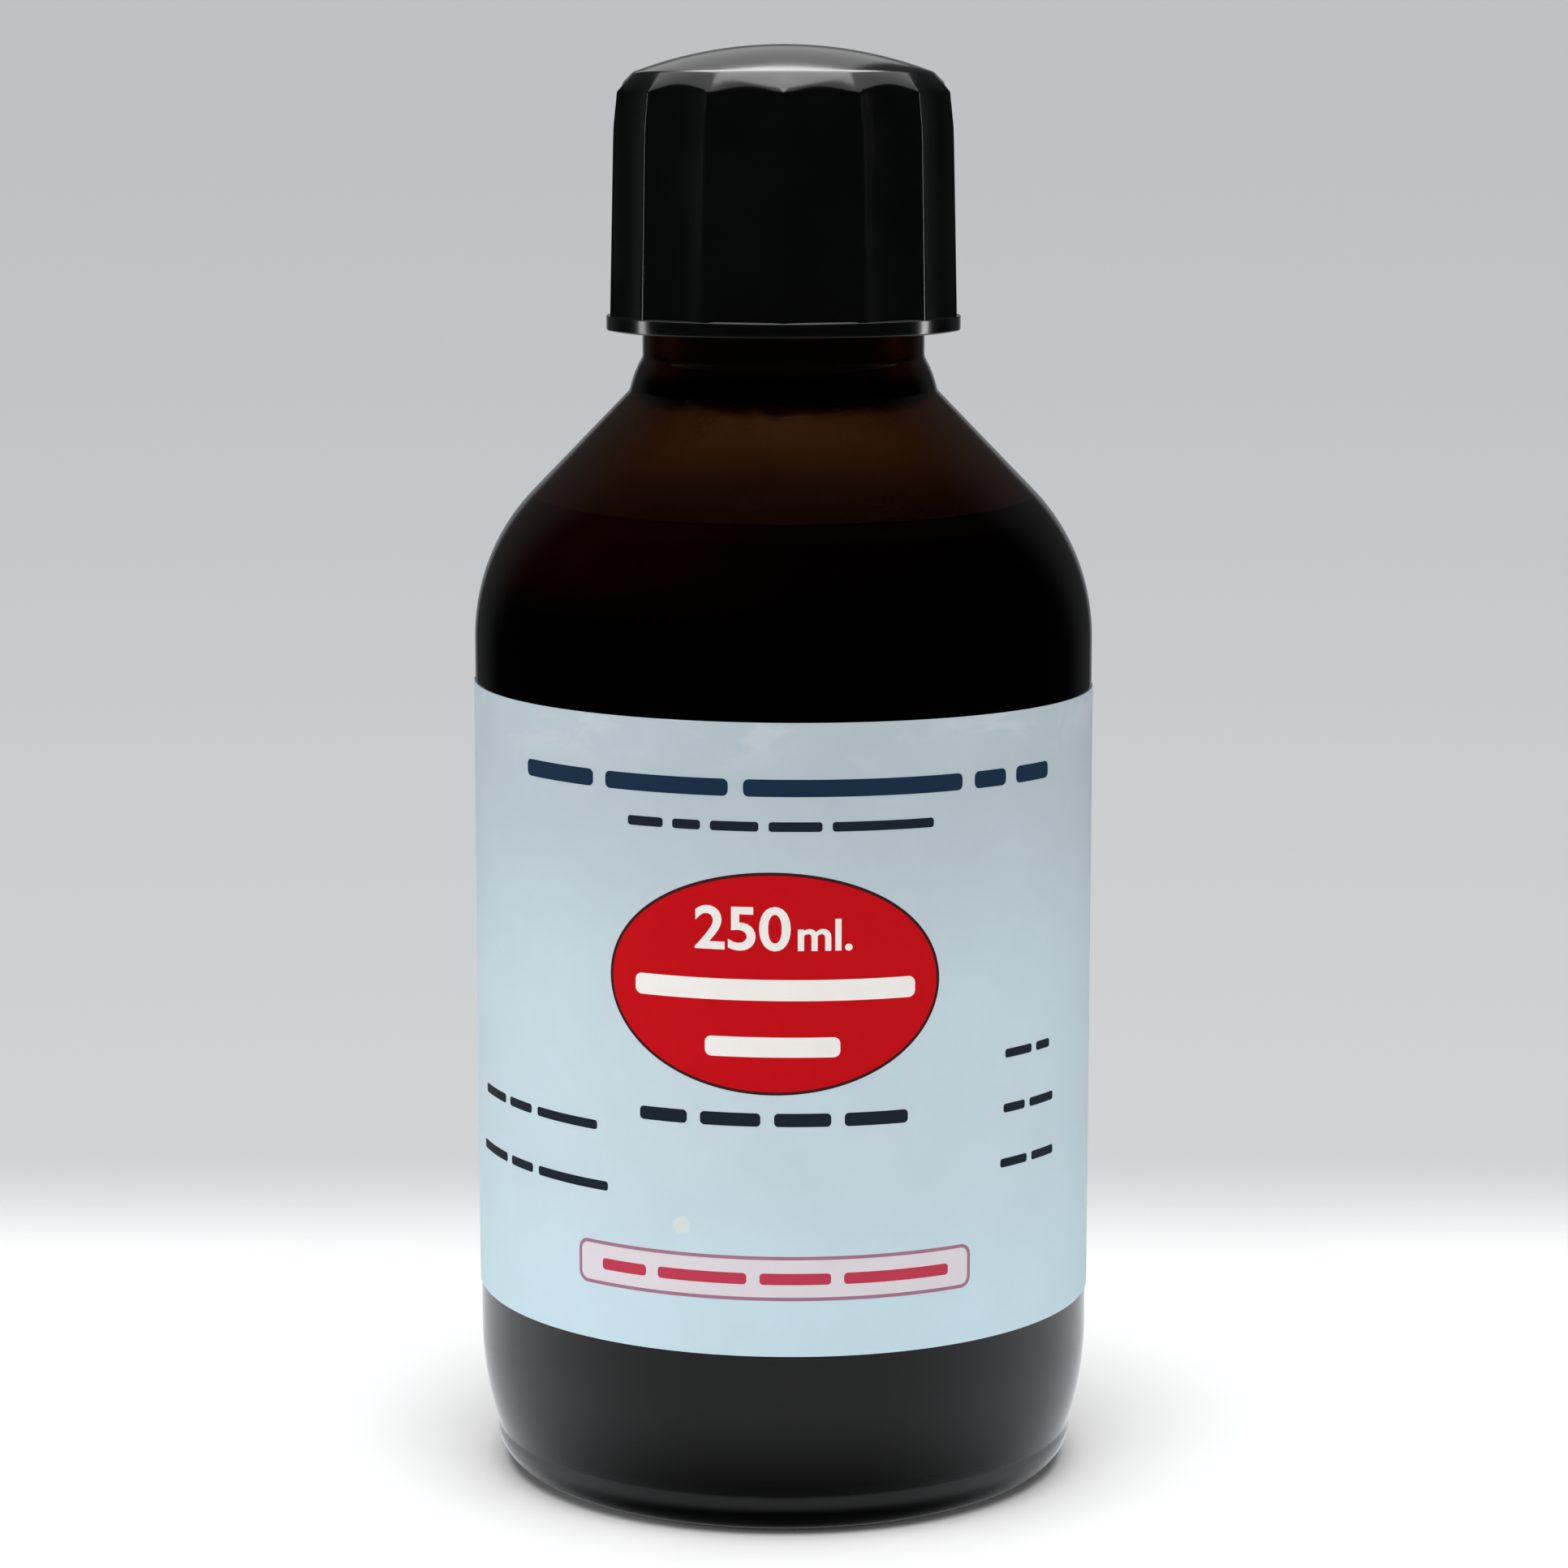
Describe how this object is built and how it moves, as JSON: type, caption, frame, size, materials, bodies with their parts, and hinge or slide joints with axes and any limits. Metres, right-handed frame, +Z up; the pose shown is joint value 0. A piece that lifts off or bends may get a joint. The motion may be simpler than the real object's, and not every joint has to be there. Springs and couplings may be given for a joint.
{
  "type": "reagent bottle",
  "caption": "Amber glass screw-top reagent bottle with a fluted black cap, lined cap top, wrap-around paper label and dark stain solution; the cap unscrews and lifts off.",
  "frame": {"origin": "centre of the bearing ring that the bottle stands on", "axes": "+Z up along the bottle's axis; -Y is the front of the label, +X to the right of it"},
  "size_m": [0.0642, 0.064, 0.1478],
  "materials": {
    "amber_glass": "brown amber soda-lime glass, fire-polished",
    "cap_black": "black moulded plastic, satin gloss",
    "liner_foam": "white closed-cell foam",
    "liner_film": "white film, waxy",
    "label_paper": "pale blue-white printed paper, semi-matt",
    "stain_liquid": "very dark stain solution"
  },
  "bodies": {
    "bottle": {"bottle_glass": "amber_glass", "label_paper": "label_paper", "stain_solution": "stain_liquid"},
    "liner": {"cap_liner_backing": "liner_foam", "cap_liner_facing": "liner_film"},
    "cap": {"screw_cap": "cap_black"}
  },
  "joints": [
    {"name": "liner_lift", "type": "slide", "parent": "bottle", "child": "liner", "axis": [0, 0, 1], "range_m": [0, 0.026]},
    {"name": "cap_twist", "type": "hinge", "parent": "liner", "child": "cap", "pos_m": [0, 0, 0.13], "axis": [0, 0, 1], "range_deg": [0, 2340]}
  ],
  "couplings": [
    {"joint": "liner_lift", "follows": "cap_twist", "m_per_rad": 0.00063662}
  ]
}
